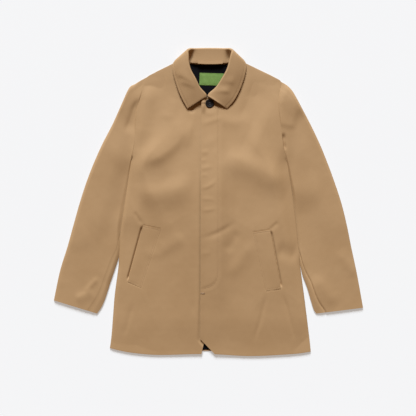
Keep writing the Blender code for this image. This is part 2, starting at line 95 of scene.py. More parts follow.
def follow(at, knots, values):
    """A smooth line through a table's points that doesn't swing past them. The knots rise."""
    knots, values = np.asarray(knots, float), np.asarray(values, float)
    step = np.diff(knots)
    slope = np.diff(values) / step
    middle = np.where(slope[:-1] * slope[1:] > 0, (slope[:-1] + slope[1:]) / 2, 0)
    limit = 3 * np.minimum(abs(slope[:-1]), abs(slope[1:]))
    tangent = np.concatenate([slope[:1], np.clip(middle, -limit, limit), slope[-1:]])
    number = np.clip(np.searchsorted(knots, at) - 1, 0, len(step) - 1)
    t = np.clip((at - knots[number]) / step[number], 0, 1)
    start, end = values[number], values[number + 1]
    rise, fall = tangent[number] * step[number], tangent[number + 1] * step[number]
    bend = (t - 1) * (rise * (1 - t) - fall * t)
    return start + (end - start) * smooth(t) - t * bend


def edge_x(edge, y):
    """Where a side edge of the body lies at a level."""
    return follow(y, edge["y"][::-1], edge["x"][::-1])


def hem_y(x):
    """Where the fronts' hem lies."""
    return follow(x, HEM["x"], HEM["y"])


def twill_group():
    """Fine diagonal ribs, a little slub and soft mottling, shared by the woven cloths."""
    group = bpy.data.node_groups.new("twill_weave", "ShaderNodeTree")
    for name in ("Ribs per metre", "Mottle size", "Slub"):
        group.interface.new_socket(name, in_out="INPUT", socket_type="NodeSocketFloat")
    for name in ("Shade", "Height"):
        group.interface.new_socket(name, in_out="OUTPUT", socket_type="NodeSocketFloat")
    nodes, links = group.nodes, group.links
    given, out = nodes.new("NodeGroupInput"), nodes.new("NodeGroupOutput")
    place = nodes.new("ShaderNodeTexCoord")
    ribs = nodes.new("ShaderNodeTexWave")
    ribs.wave_type = "BANDS"
    ribs.bands_direction = "DIAGONAL"
    ribs.inputs["Distortion"].default_value = 1.2
    ribs.inputs["Detail"].default_value = 1.0
    ribs.inputs["Detail Scale"].default_value = 0.6
    slub = nodes.new("ShaderNodeTexNoise")
    slub.inputs["Scale"].default_value = 420
    slub.inputs["Detail"].default_value = 2
    mottle = nodes.new("ShaderNodeTexNoise")
    mottle.inputs["Detail"].default_value = 4
    mottle.inputs["Roughness"].default_value = 0.55
    links.new(given.outputs["Ribs per metre"], ribs.inputs["Scale"])
    links.new(given.outputs["Mottle size"], mottle.inputs["Scale"])
    for texture in (ribs, slub, mottle):
        links.new(place.outputs["Object"], texture.inputs["Vector"])
    slubbed = nodes.new("ShaderNodeMath")
    slubbed.operation = "MULTIPLY"
    links.new(slub.outputs["Fac"], slubbed.inputs[0])
    links.new(given.outputs["Slub"], slubbed.inputs[1])
    height = nodes.new("ShaderNodeMath")
    links.new(ribs.outputs["Fac"], height.inputs[0])
    links.new(slubbed.outputs[0], height.inputs[1])
    faint = nodes.new("ShaderNodeMath")
    faint.operation = "MULTIPLY_ADD"
    faint.inputs[1].default_value = 0.25
    links.new(height.outputs[0], faint.inputs[0])
    links.new(mottle.outputs["Fac"], faint.inputs[2])
    links.new(faint.outputs[0], out.inputs["Shade"])
    links.new(height.outputs[0], out.inputs["Height"])
    return group


TWILL = twill_group()


def woven(name, dark, light, ribs, mottle, slub, bump, roughness, gloss, sheen, sheen_tint):
    """A cloth whose colour runs between two shades with the weave and the mottling."""
    material = bpy.data.materials.new(name)
    material.use_nodes = True
    nodes, links = material.node_tree.nodes, material.node_tree.links
    shader = nodes["Principled BSDF"]
    weave = nodes.new("ShaderNodeGroup")
    weave.node_tree = TWILL
    weave.inputs["Ribs per metre"].default_value = ribs
    weave.inputs["Mottle size"].default_value = mottle
    weave.inputs["Slub"].default_value = slub
    shade = nodes.new("ShaderNodeValToRGB")
    shade.color_ramp.elements[0].position = 0.35
    shade.color_ramp.elements[0].color = (*dark, 1)
    shade.color_ramp.elements[1].position = 1.0
    shade.color_ramp.elements[1].color = (*light, 1)
    relief = nodes.new("ShaderNodeBump")
    relief.inputs["Strength"].default_value = 0.6
    relief.inputs["Distance"].default_value = bump
    links.new(weave.outputs["Shade"], shade.inputs["Fac"])
    links.new(weave.outputs["Height"], relief.inputs["Height"])
    links.new(shade.outputs["Color"], shader.inputs["Base Color"])
    links.new(relief.outputs["Normal"], shader.inputs["Normal"])
    shader.inputs["Roughness"].default_value = roughness
    shader.inputs["Specular IOR Level"].default_value = gloss
    shader.inputs["Sheen Weight"].default_value = sheen
    shader.inputs["Sheen Roughness"].default_value = 0.5
    shader.inputs["Sheen Tint"].default_value = (*sheen_tint, 1)
    return material


GABARDINE = woven(
    "gabardine", (0.360, 0.214, 0.098), (0.413, 0.254, 0.124), ribs=190, mottle=9, slub=0.5,
    bump=0.00010, roughness=0.75, gloss=0.34, sheen=0.03, sheen_tint=(0.9, 0.72, 0.5),
)


def finish_piece(bm, name, material, slot, *nodes):
    """Makes the mesh an object that rides on the coat and stands for its solids."""
    mesh = bpy.data.meshes.new(name)
    bm.to_mesh(mesh)
    bm.free()
    mesh.shade_smooth()
    mesh.set_sharp_from_angle(angle=SHARP_ANGLE)
    mesh.materials.append(material)
    piece = bpy.data.objects.new(name, mesh)
    bpy.context.scene.collection.objects.link(piece)
    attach(piece, "root")
    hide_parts(*nodes)
    return piece


def cloth_grid(points):
    """A sheet whose corners lie on an array of points in millimetres, rows by columns by three."""
    rows, across = points.shape[0] - 1, points.shape[1] - 1
    bm = bmesh.new()
    bmesh.ops.create_grid(bm, x_segments=across, y_segments=rows, size=0.5)
    place = (points + CENTRE_SHIFT) * MM
    for corner in bm.verts:
        corner.co = place[round((corner.co.y + 0.5) * rows), round((corner.co.x + 0.5) * across)]
    bm.normal_update()
    return bm


def cloth_shell(name, points, wall, material, slot, *nodes):
    """A sheet given its thickness downwards."""
    bm = cloth_grid(points)
    if sum(face.normal.z for face in bm.faces) < 0:
        bmesh.ops.reverse_faces(bm, faces=bm.faces[:])
    bmesh.ops.solidify(bm, geom=bm.faces[:], thickness=wall * MM)
    return finish_piece(bm, name, material, slot, *nodes)


def spread(count, crowd=0.0):
    """Shares from 0 to 1, closer together towards both ends."""
    t = np.linspace(0, 1, count)
    return t - crowd * np.sin(2 * np.pi * t) / (2 * np.pi)


def back_panel(side_inset, shoulder_drop, hem_rise, across, rows):
    """The back laid out between its shoulders, sides and hem."""
    t = spread(across)[None, :]
    level = spread(rows, 0.5)[:, None]
    right, left = RIGHT_TIP_X + side_inset, LEFT_TIP_X - side_inset
    top_x = right + (left - right) * t
    neck = follow(top_x, BACK_NECK["x"], BACK_NECK["y"])
    shoulder_right = follow(top_x, RIGHT_EDGE["x"][3::-1], RIGHT_EDGE["y"][3::-1])
    shoulder_left = follow(top_x, LEFT_EDGE["x"][:5], LEFT_EDGE["y"][:5])
    shoulders = np.where(top_x < 0, shoulder_right, shoulder_left) - shoulder_drop
    at_neck = neck - NECK_DROP_SHARE * shoulder_drop
    top_y = np.where(abs(top_x) > NECK_HALF, shoulders, at_neck)
    foot_x = FOOT_RIGHT + side_inset + (FOOT_WIDTH - 2 * side_inset) * t
    foot_y = hem_y(foot_x) + hem_rise
    y = top_y + (foot_y - top_y) * level
    straight = top_x + (foot_x - top_x) * level
    pull_right = edge_x(RIGHT_EDGE, y[:, :1]) + side_inset - straight[:, :1]
    pull_left = edge_x(LEFT_EDGE, y[:, -1:]) - side_inset - straight[:, -1:]
    x = straight + pull_right * (1 - t) + pull_left * t
    return x, y


x, y = back_panel(side_inset=0.6, shoulder_drop=0.0, hem_rise=BACK_HEM_RISE, across=90, rows=90)
back = cloth_shell(
    "coat_back", np.stack([x, y, np.full_like(x, BACK_WALL)], axis=-1), BACK_WALL, GABARDINE,
    "gabardine", "back",
)

# The back's lining
# A dark, smooth viscose lining that lies on the inside of the back. It shows in the neck opening
# and at the notch of the hem.
LINING_WALL = 1.0
LINING_TOP = BACK_WALL + SEAM_GAP + LINING_WALL
LINING_HEM_RISE = BACK_HEM_RISE + 4.0
LINING_RIPPLE = 0.22
LINING = woven(
    "lining", (0.002, 0.002, 0.003), (0.005, 0.005, 0.007), ribs=260, mottle=14, slub=0.3,
    bump=0.00005, roughness=0.6, gloss=0.06, sheen=0.0, sheen_tint=(0.4, 0.45, 0.6),
)
x, y = back_panel(side_inset=11.0, shoulder_drop=6.0, hem_rise=LINING_HEM_RISE, across=70, rows=90)
ripple = LINING_RIPPLE * np.sin(x / 17 + y / 41) * np.sin(y / 13 - x / 60)
lining = cloth_shell(
    "back_lining_cloth", np.stack([x, y, LINING_TOP + ripple], axis=-1), LINING_WALL, LINING,
    "lining", "back_lining",
)

# The neck label
# A bare woven label in green, sewn to the lining below the back neck by a line of stitches
# round its edge.
LABEL_WALL = 1.0
LABEL_CENTRE = (4.5, 356.4)
LABEL_SIZE = (70.0, 35.5)
LABEL_CUT = (70.0, 37.0)
LABEL_TILT = -0.03
LABEL_PUFF, LABEL_RIPPLE = 0.5, 0.12
LABEL_WEAVE = woven(
    "label_weave", (0.108, 0.198, 0.038), (0.178, 0.288, 0.074), ribs=420, mottle=60, slub=0.8,
    bump=0.0001, roughness=0.7, gloss=0.2, sheen=0.1, sheen_tint=(0.6, 0.9, 0.4),
)


def ramp(at, start, full):
    """0 at the start, 1 where it is full, and smooth between."""
    return smooth((at - start) / (full - start))


def label_place(across, along):
    """A point of the label from its shares across and along."""
    u, v = (across - 0.5) * LABEL_SIZE[0], (along - 0.5) * LABEL_SIZE[1]
    x = LABEL_CENTRE[0] + u * np.cos(LABEL_TILT) - v * np.sin(LABEL_TILT)
    y = LABEL_CENTRE[1] + u * np.sin(LABEL_TILT) + v * np.cos(LABEL_TILT)
    from_side = np.minimum(across, 1 - across) * LABEL_CUT[0]
    from_end = np.minimum(along, 1 - along) * LABEL_CUT[1]
    edge = np.minimum(from_side, from_end)
    puff = LABEL_PUFF * ramp(edge, 0, 9)
    puff = puff + LABEL_RIPPLE * np.sin(x / 3.1 + y / 9) * ramp(edge, 0, 4)
    return np.stack(np.broadcast_arrays(x, y, LINING_TOP + SEAM_GAP + LABEL_WALL + puff), axis=-1)


label = cloth_shell(
    "neck_label_cloth", label_place(np.linspace(0, 1, 57)[None, :], np.linspace(0, 1, 31)[:, None]),
    LABEL_WALL, LABEL_WEAVE, "label", "neck_label",
)


def thread(name, dark, light):
    """Sewing thread in two shades."""
    return woven(
        name, dark, light, ribs=900, mottle=200, slub=0.4, bump=0.00006, roughness=0.6, gloss=0.3,
        sheen=0.1, sheen_tint=(0.9, 0.8, 0.6),
    )


def stitch_row(bm, path, pitch, length, radius):
    """A row of short stitches laid along a line of points in millimetres."""
    steps = np.linalg.norm(np.diff(path, axis=0), axis=1)
    run = np.concatenate([[0], np.cumsum(steps)])
    for middle in np.arange(pitch / 2, run[-1], pitch):
        start, end = (
            np.array([np.interp(middle + way * length / 2, run, column) for column in path.T])
            for way in (-1, 1)
        )
        centre = Vector(((start + end) / 2 + CENTRE_SHIFT) * MM)
        turn = Vector(end - start).to_track_quat("Z", "Y").to_matrix().to_4x4()
        shape = Matrix.Diagonal((radius * MM, radius * MM, length / 2 * MM, 1))
        bmesh.ops.create_uvsphere(
            bm, u_segments=6, v_segments=4, radius=1, matrix=Matrix.Translation(centre) @ turn @ shape
        )


LABEL_THREAD = thread("label_thread", (0.13, 0.21, 0.04), (0.20, 0.31, 0.07))
on_label = np.array((0, 0, 0.15))
bm = bmesh.new()
ring = np.array(((0.03, 0.05), (0.97, 0.05), (0.97, 0.95), (0.03, 0.95), (0.03, 0.05)))
for start, end in zip(ring[:-1], ring[1:]):
    share = start + (end - start) * np.linspace(0, 1, 30)[:, None]
    line = label_place(share[:, 0], share[:, 1]) + on_label
    stitch_row(bm, line, pitch=2.6, length=1.9, radius=0.3)
finish_piece(bm, "label_stitches", LABEL_THREAD, "label")

# The fronts
# Two panels of gabardine. The right one runs under the fly and the left one over it; both fold
# down to the back at the shoulders and sides and lie in the soft folds of a coat just laid down.
FRONT_WALL = 1.8
FRONT_AIR = 3.5
UNDERLAP_AIR = 1.0
SHOULDER_FOLD = 90.0
SIDE_FOLD = 13.0
OVERHANG = 2.0
FRONT_UNDERSIDE = LINING_TOP + FRONT_AIR
HEM_LEVEL, HEM_BLEND = -440.0, 110.0
RIGHT_UNDERARM, LEFT_UNDERARM = 130.0, 125.0
NECK_FRONT = 304.5
COLLAR_LEAN, COLLAR_TOP = 0.0377, 443.7
UNDERLAP_EDGE = columns("y x", (301, 13), (-357, 13), (-412, -18.6), (-440, -25))
FLY_EDGE = columns("y x", (301, -25), (-397, -28), (-440, 14))
FRONT_NECK = columns(
    "y out",
    (306.0, 6.6), (319.9, 29.8), (341.6, 52.4), (367.1, 69.3), (391.5, 78.3), (409.5, 81.6),
)
RIGHT_FOLDS = columns(
    "x0 y0 x1 y1 bow left right height",
    # across the chest
    (-216, 108, -46, 254, -28, 46, 22, 4.8),
    (-80, 186, -15, 164, 0, 50, 30, 1.6),
    (-232, 26, -40, 66, -22, 32, 40, 5.0),
    (-310, 104, -90, 146, -6, 90, 50, 4.0),
    # down from the shoulder
    (-202, 150, -172, 360, 2, 18, 26, 4.4),
    (-126, 228, -98, 304, 0, 25, 15, 0.8),
    (-64, 262, -14, 300, 0, 12, 10, -5.0),
    (-205, 344, -125, 350, 0, 12, 22, -1.8),
    # between the pocket and the sleeve
    (-220, -26, -196, -66, 0, 4, 7, -1.1),
    (-276, -40, -184, -34, 0, 110, 42, 4.4),
    # the skirt
    (-150, -150, -70, -95, 0, 22, 18, 1.6),
    (-200, -150, -118, -148, 0, 20, 14, 0.8),
    (-46, -330, -24, -235, 0, 12, 12, -1.8),
    (-222, -290, -252, -400, 0, 7, 9, -0.8),
)
LEFT_FOLDS = columns(
    "x0 y0 x1 y1 bow left right height",
    # across the chest
    (20, 138, 235, 36, 9, 32, 40, 6.2),
    (105, 198, 245, 140, 0, 110, 64, 5.2),
    (20, 238, 95, 226, 0, 20, 16, 1.2),
    # down from the shoulder
    (86, 232, 134, 345, 0, 14, 34, -1.9),
    (100, 334, 220, 348, 0, 22, 46, -1.8),
    (120, 262, 226, 262, 0, 90, 60, 2.4),
    # the skirt
    (50, -225, 130, -110, 0, 18, 20, 1.6),
    (45, -150, 85, -80, 0, 14, 14, -1.2),
    (188, -138, 258, -160, 0, 24, 18, -2.4),
    (168, -84, 198, -56, 0, 4, 7, -1.0),
    (165, -258, 124, -412, 3, 6, 6, -0.9),
    (207, -256, 246, -408, 3, 6, 6, -1.1),
)
FLY_FOLDS = columns(
    "x0 y0 x1 y1 bow left right height",
    (-19, 252, -19, 316, 0, 7, 7, 4.2),
    (-14, 304, 48, 274, 0, 12, 10, -4.5),
    (-24, 262, 26, 262, -6, 10, 8, 0.7),
    (-34, 222, 46, 248, 0, 10, 8, 1.0),
    (-34, 150, 30, 194, 0, 14, 12, 0.5),
    (-32, 141, 2, 147, 0, 7, 7, 0.7),
    (-32, 120, -6, 121, 0, 4, 5, 0.4),
    (-34, 94, 16, 104, 0, 7, 6, 0.6),
    (-32, 77, 0, 79, 0, 4, 6, 0.4),
    (-34, 38, 22, 66, -7, 8, 5, 0.9),
    (-32, 7, 20, 4, 3, 6, 5, 0.5),
    (-34, -24, 26, -16, -3, 7, 5, 0.6),
    (-36, -108, 84, -50, -8, 7, 9, -1.2),
    (-34, -150, 10, -146, 0, 8, 6, 0.4),
)
FLY_STITCH = np.array((
    (23.0, 262.0), (23.0, -205.0), (20.5, -222.0), (13.0, -236.0), (0.0, -245.0), (-17.0, -249.0),
))
FLY_GROOVE = columns("y width", (-420, 12), (-330, 8), (-270, 5), (20, 5), (110, 12), (240, 22))
FLY_RISE, UNDERLAP_RISE = 7.0, 4.0
FLY_RISE_MIDDLE, FLY_RISE_ABOVE, FLY_RISE_BELOW = -60.0, 230.0, 265.0
FLY_TAPER = 0.45
FLY_TILT = 2.2
FLY_PUFF, STITCH_SINK, STITCH_SPREAD = 0.4, 0.2, 0.2
FLY_LIP = 1.0
RIGHT_SWELL = {"middle": 40.0, "above": 170.0, "below": 300.0, "height": 11.5}
LEFT_SWELL = {"middle": 30.0, "above": 215.0, "below": 300.0, "height": 13.0}
SWELL_FADE = columns(
    "y right left",
    (-260, 190, 36), (-150, 190, 36), (-20, 110, 50), (105, 42, 60), (240, 120, 120),
    (300, 120, 120),
)
LONG_WAVE, SHORT_WAVE = 0.15, 0.07
HEM_DROP, HEM_CORNER_DROP, HEM_TURN = 4.0, 1.5, 0.15
SHOULDER_DROP = 3.0
RIGHT_WELT = columns("x y", (-193, -67), (-142, -78), (-200, -248), (-238, -231))
LEFT_WELT = columns("x y", (173, -80), (125, -87), (162, -258), (205, -251))
WELT_WALL = 1.0
WELT_SEAT = 1.3
POCKET_RISE = 1.5
MOUTH_DEPTH = 4.6


def hump(at, width):
    """1 in the middle, where at is 0, and down to nothing over about two widths."""
    return np.exp(-((at / width) ** 2))


def fold_height(folds, x, y, taper=0.3):
    """The height that a table of folds adds at a point. Each runs from one end to the other with a
    bow to its left, has one width to its left and another to its right, and fades at its ends."""
    total = np.zeros(np.broadcast(x, y).shape)
    for x0, y0, x1, y1, bow, left, right, height in zip(*folds.values()):
        run_x, run_y = x1 - x0, y1 - y0
        length = np.hypot(run_x, run_y)
        t = np.clip(((x - x0) * run_x + (y - y0) * run_y) / length**2, 0, 1)
        aside = ((y - y0) * run_x - (x - x0) * run_y) / length - bow * 4 * t * (1 - t)
        ends = smooth(t / taper) * smooth((1 - t) / taper)
        total += height * ends * hump(aside, np.where(aside > 0, left, right))
    return total


def swell(x, y, side):
    """The broad rise of the chest and belly of a front over the folded cloth inside."""
    shape = RIGHT_SWELL if side < 0 else LEFT_SWELL
    from_side = side * (edge_x(body_edge(side), y) - x)
    from_middle = y - shape["middle"]
    length = np.where(from_middle > 0, shape["above"], shape["below"])
    fade = follow(y, SWELL_FADE["y"], SWELL_FADE["right" if side < 0 else "left"])
    return shape["height"] * hump(from_middle, length) * ramp(from_side, 0, fade)


def soft_waves(x, y, size, seed):
    """Low uneven waves of cloth that lies loose, with no two alike. Values run from about -1 to 1."""
    total = 0.0
    for number in range(7):
        turn = seed + 2.4 * number
        pitch = size * (0.55 + 0.17 * ((number * 5) % 7))
        u = (x * np.cos(turn) + y * np.sin(turn)) / pitch
        v = (y * np.cos(turn) - x * np.sin(turn)) / (1.9 * pitch)
        total = total + np.sin(2 * np.pi * u + 1.7 * np.sin(2 * np.pi * v + number)) / 4
    return total


def turned_down(distance, width):
    """How far a folded edge has come up: 0 at the edge, 1 from the fold's width on."""
    left = 1 - np.clip(distance / width, 0, 1)
    return np.sqrt(np.clip(1 - left**2, 0, 1))


def collar_axis(y):
    """The collar's middle line, which leans a little to the coat's right."""
    return -COLLAR_LEAN * (COLLAR_TOP - y)


def body_edge(side):
    """The side edge of the body. side is -1 on the right and 1 on the left."""
    return RIGHT_EDGE if side < 0 else LEFT_EDGE


def front_inner_x(y, side):
    """The edge of a front by the neck and down the fly."""
    fly = UNDERLAP_EDGE if side < 0 else FLY_EDGE
    straight = np.interp(y, fly["y"][::-1], fly["x"][::-1])
    neck = collar_axis(y) + side * follow(y, FRONT_NECK["y"], FRONT_NECK["out"])
    return np.where(y >= NECK_FRONT, neck, straight)


def away_from(path, x, y):
    """The distance from a line of points."""
    best = np.full(np.broadcast(x, y).shape, 1e9)
    for (x0, y0), (x1, y1) in zip(path[:-1], path[1:]):
        run_x, run_y = x1 - x0, y1 - y0
        t = np.clip(((x - x0) * run_x + (y - y0) * run_y) / (run_x**2 + run_y**2), 0, 1)
        best = np.minimum(best, np.hypot(x - x0 - t * run_x, y - y0 - t * run_y))
    return best


def welt_reach(x, y, side):
    """How far a point lies inside a pocket's welt, within its two ends, and in from its mouth."""
    corners = RIGHT_WELT if side < 0 else LEFT_WELT
    ends = np.stack([corners["x"], corners["y"]], axis=1)
    inside = []
    for (x0, y0), (x1, y1) in zip(ends, np.roll(ends, -1, axis=0)):
        across = (x1 - x0) * (y - y0) - (y1 - y0) * (x - x0)
        inside.append(side * across / np.hypot(x1 - x0, y1 - y0))
    top, inner, foot, mouth = inside
    within_ends = np.minimum(top, foot)
    return np.minimum(np.minimum(within_ends, inner), mouth), within_ends, mouth


def beside_sleeve(y, side):
    """1 where the body's edge lies over the sleeve's, below the underarm, and 0 elsewhere."""
    underarm = RIGHT_UNDERARM if side < 0 else LEFT_UNDERARM
    return ramp(y, underarm, underarm - 25) * ramp(y, -190, -150)


def front_level(x, y, side):
    """The level of a front before its fly, folds and pocket, lower by the hem and shoulder."""
    level = FRONT_UNDERSIDE + swell(x, y, side)
    level = level + LONG_WAVE * soft_waves(x, y, 130, 0.7 + side)
    level = level + SHORT_WAVE * soft_waves(x, y, 42, 2.1 + side)
    corner = 0.0 if side < 0 else HEM_CORNER_DROP * ramp(x, 225, 270)
    level = level - (HEM_DROP + corner) * ramp(y, -330, -440)
    return level - SHOULDER_DROP * ramp(y, 190, 350)


def fly_rise(y):
    """How far the cloth is raised along the fly by the layers inside: 1 at its middle."""
    from_middle = y - FLY_RISE_MIDDLE
    return hump(from_middle, np.where(from_middle > 0, FLY_RISE_ABOVE, FLY_RISE_BELOW))


def right_shape(x, y):
    """What the right front adds to its level: its folds, and its way down under the fly."""
    from_fly = x - edge_x(FLY_EDGE, y)
    groove = np.interp(y, FLY_GROOVE["y"], FLY_GROOVE["width"])
    under_fly = UNDERLAP_AIR - FRONT_AIR + swell(x, y, 1) - swell(x, y, -1)
    shape = UNDERLAP_RISE * fly_rise(y) * ramp(x, -115, -30)
    shape = shape + under_fly * ramp(from_fly, -groove, 0)
    shape = shape + fold_height(RIGHT_FOLDS, x, y) * ramp(from_fly, -8, -33)
    return shape + FLY_LIP * hump(from_fly + 8, 7) * ramp(groove, 12, 6)


def left_shape(x, y):
    """What the left front adds to its level: its folds, and the fly with its line of stitches."""
    from_fly = x - edge_x(FLY_EDGE, y)
    from_stitch = away_from(FLY_STITCH, x, y)
    stitch_x, (foot_x, foot_y) = FLY_STITCH[0][0], FLY_STITCH[-1]
    inside = (x < stitch_x) & (y > foot_y + np.clip(x - foot_x, 0, stitch_x - foot_x) * 0.6)
    tilt = np.clip((x + 27) / 47, 0, 1) * ramp(x, 55, 23)
    shape = fold_height(LEFT_FOLDS, x, y) * ramp(x, -20, 50)
    shape = shape + fold_height(FLY_FOLDS, x, y, FLY_TAPER)
    shape = shape + FLY_TILT * tilt * ramp(y, -330, -210)
    shape = shape + FLY_RISE * fly_rise(y) * ramp(x, 80, 20)
    puffed = FLY_PUFF * ramp(from_stitch, 0, 6)
    shape = shape + np.where(inside, puffed, STITCH_SPREAD * hump(from_stitch - 11, 4))
    shape = shape - STITCH_SINK * hump(from_stitch, 1.8)
    return shape + FLY_LIP * hump(from_fly, 9) * ramp(y, -425, -385)


def pocket_shape(x, y, side, opened):
    """What a pocket adds to a front: a soft rise round it and, where it is opened, the welt's seat
    and the hollow of the mouth."""
    within, within_ends, from_mouth = welt_reach(x, y, side)
    shape = POCKET_RISE * hump(np.minimum(within, 0), 45)
    if not opened:
        return shape
    seat = ramp(within, -0.6, 1.4)
    hollow = hump(from_mouth + 2.2, 2.9) * ramp(within_ends, 2, 14)
    return shape - WELT_SEAT * seat - MOUTH_DEPTH * hollow * (1 - seat)


def front_top(x, y, side, pocket=True):
    """The height of the upper face of a front above the floor."""
    x, y = np.broadcast_arrays(np.asarray(x, float), np.asarray(y, float))
    tip, underarm = (RIGHT_TIP, RIGHT_UNDERARM) if side < 0 else (LEFT_TIP, LEFT_UNDERARM)
    sewn = np.interp(y, (underarm - 25, underarm + 5, tip - 25, tip), (1, 0, 0, 1))
    width = np.interp(y, (tip - 20, tip), (SIDE_FOLD, SHOULDER_FOLD))
    over_sleeve = OVERHANG * beside_sleeve(y, side)
    distance = side * (edge_x(body_edge(side), y) - x) + over_sleeve
    lift = 1 - sewn * (1 - turned_down(distance, width))
    lowest = BACK_WALL + SEAM_GAP + over_sleeve
    flat = front_level(x, y, side) + (right_shape(x, y) if side < 0 else left_shape(x, y))
    flat = flat + pocket_shape(x, y, side, pocket)
    height = lowest + (np.maximum(flat, LINING_TOP + SEAM_GAP) - lowest) * lift
    return height + FRONT_WALL - HEM_TURN * (1 - turned_down(y - hem_y(x), 3))


FRONT_LEVELS = np.concatenate([
    np.linspace(412, 349, 26), np.linspace(347, 302.2, 16), np.linspace(300, -396, 220),
    np.linspace(-398, -440, 22),
])


def front_points(side):
    """The upper face of a front, level by level from its shoulder to its hem."""
    across = spread(170, 0.4)[None, :]
    level = FRONT_LEVELS[:, None]
    inner = front_inner_x(level, side)
    outer = edge_x(body_edge(side), level) + side * OVERHANG * beside_sleeve(level, side)
    x = inner + (outer - inner) * across
    drop = ramp(level, HEM_LEVEL + HEM_BLEND, HEM_LEVEL)
    y = level + (hem_y(x) - HEM_LEVEL) * drop
    return np.stack([x, y, front_top(x, y, side)], axis=-1)


front_right = cloth_shell(
    "front_right_cloth", front_points(-1), FRONT_WALL, GABARDINE, "gabardine", "front_right"
)
front_left = cloth_shell(
    "front_left_cloth", front_points(1), FRONT_WALL, GABARDINE, "gabardine", "front_left"
)

# The fly's sewing
# A line of tan thread that holds the hidden button fly down the left front and turns in to its
# edge at the foot, with a close bar of stitches below it.
COAT_THREAD = thread("coat_thread", (0.30, 0.18, 0.09), (0.40, 0.25, 0.13))
BAR_RIGHT, BAR_LEFT = -27.5, -14.0
BAR_LEVELS = np.arange(-265.6, -262, 0.7)


def on_front(path, side, lift=0.1, step=4.0):
    """A line of points carried up onto a front."""
    path = np.asarray(path, float)
    run = np.concatenate([[0], np.cumsum(np.linalg.norm(np.diff(path, axis=0), axis=1))])
    at = np.linspace(0, run[-1], max(2, int(run[-1] / step)))
    x, y = np.interp(at, run, path[:, 0]), np.interp(at, run, path[:, 1])
    return np.stack([x, y, front_top(x, y, side) + lift], axis=-1)


bm = bmesh.new()
stitch_row(bm, on_front(FLY_STITCH, 1), pitch=3.2, length=2.5, radius=0.42)
for level in BAR_LEVELS:
    bar = on_front(((BAR_RIGHT, level), (BAR_LEFT, level)), 1, lift=0.35, step=2.0)
    stitch_row(bm, bar, pitch=13.5, length=13.0, radius=0.45)
finish_piece(bm, "fly_stitches", COAT_THREAD, "gabardine")

# The pocket welts
# A slanting strip of gabardine, folded double, stands over each pocket's opening. Its short ends
# and its inner side are stitched down, and its outer edge is the mouth of the pocket.
WELT_LENGTH, WELT_WIDTH = 178.0, 48.0
WELT_LIFT, WELT_OPENING = 0.5, 1.2
WELT_STITCH_INSET, WELT_STITCH_SINK = 5.0, 0.15
WELT_CLEARANCE = 0.1


def welt_place(corners, side, along, across):
    """A point of a welt from its shares down the pocket and in from its mouth."""
    place = []
    for column in (corners["x"], corners["y"]):
        top = column[0] + (column[1] - column[0]) * across
        bottom = column[3] + (column[2] - column[3]) * across
        place.append(top + (bottom - top) * along)
    x, y = place
    edge = np.minimum(np.minimum(along, 1 - along) * WELT_LENGTH, (1 - across) * WELT_WIDTH)
    opened = np.clip(np.sin(np.pi * along), 0, 1) ** 0.6
    lifted = (WELT_LIFT + WELT_OPENING * opened) * smooth(1.1 - across * 1.3)
    stitched = WELT_STITCH_SINK * hump(edge - WELT_STITCH_INSET, 1.4)
    z = front_top(x, y, side, pocket=False) + WELT_CLEARANCE + lifted - stitched
    return np.stack([x, y, z], axis=-1)


for side, name, corners in ((-1, "right", RIGHT_WELT), (1, "left", LEFT_WELT)):
    down, inwards = spread(90, 0.4)[:, None], spread(34, 0.4)[None, :]
    welt = cloth_shell(
        f"pocket_welt_{name}_cloth", welt_place(corners, side, down, inwards), WELT_WALL, GABARDINE,
        "gabardine", f"pocket_welt_{name}",
    )
    bm = bmesh.new()
    line = np.linspace(0, 1, 40)
    lift = np.array((0, 0, 0.02))
    top, foot, inner = np.full(40, 0.022), np.full(40, 0.978), np.full(40, 0.895)
    for along, across in ((top, line), (foot, line), (line, inner)):
        sewn = welt_place(corners, side, along, across) + lift
        stitch_row(bm, sewn, pitch=3.0, length=2.3, radius=0.3)
    finish_piece(bm, f"pocket_welt_{name}_stitches", COAT_THREAD, "gabardine")

# The sleeves
# Each is a flattened tube of gabardine: an under half on the floor, and an upper half that is sewn
# to the armhole, rolls down at both edges and stays open at the cuff, with a seam down the forearm.
SLEEVE_WALL = 1.6
SLEEVE_AIR = 5.0
SLEEVE_HEAD_ROWS = 4.0
SLEEVE_ROLL, UNDERARM_ROLL = 15.0, 30.0
FOREARM_STEP = 0.7
SLEEVE_CLEARANCE = 0.1
ARMHOLE_GAP = 0.05
RIGHT_SLEEVE = columns(
    "outer_x outer_y inner_x inner_y",
    (-183, 362.5, -226, 130), (-200, 353.5, -228, 115), (-218, 342.5, -230.5, 98),
    (-235, 331, -233, 80), (-257, 284, -237, 55), (-283, 226, -244, 10), (-312, 170, -251.5, -38),
    (-338, 112, -258, -92), (-359.5, 56, -261.5, -147), (-378.5, -3, -276, -195),
    (-396, -65, -290, -236), (-414, -130, -303, -277), (-435.5, -200, -315, -305),
    (-453.5, -285.5, -328, -324),
)
LEFT_SLEEVE = columns(
    "outer_x outer_y inner_x inner_y",
    (206, 349, 220, 125), (222, 340, 223, 112), (237.5, 325, 226, 93), (250, 305, 229, 73),
    (266.5, 274, 234, 42), (293.5, 222, 240, -2), (319.5, 167, 247, -60), (342.5, 110, 253, -115),
    (364, 51, 260, -172), (383, -8, 268.5, -212), (397.5, -68, 282, -249), (411, -135, 294, -290),
    (427, -210, 301.5, -313), (444.5, -307, 309, -324),
)
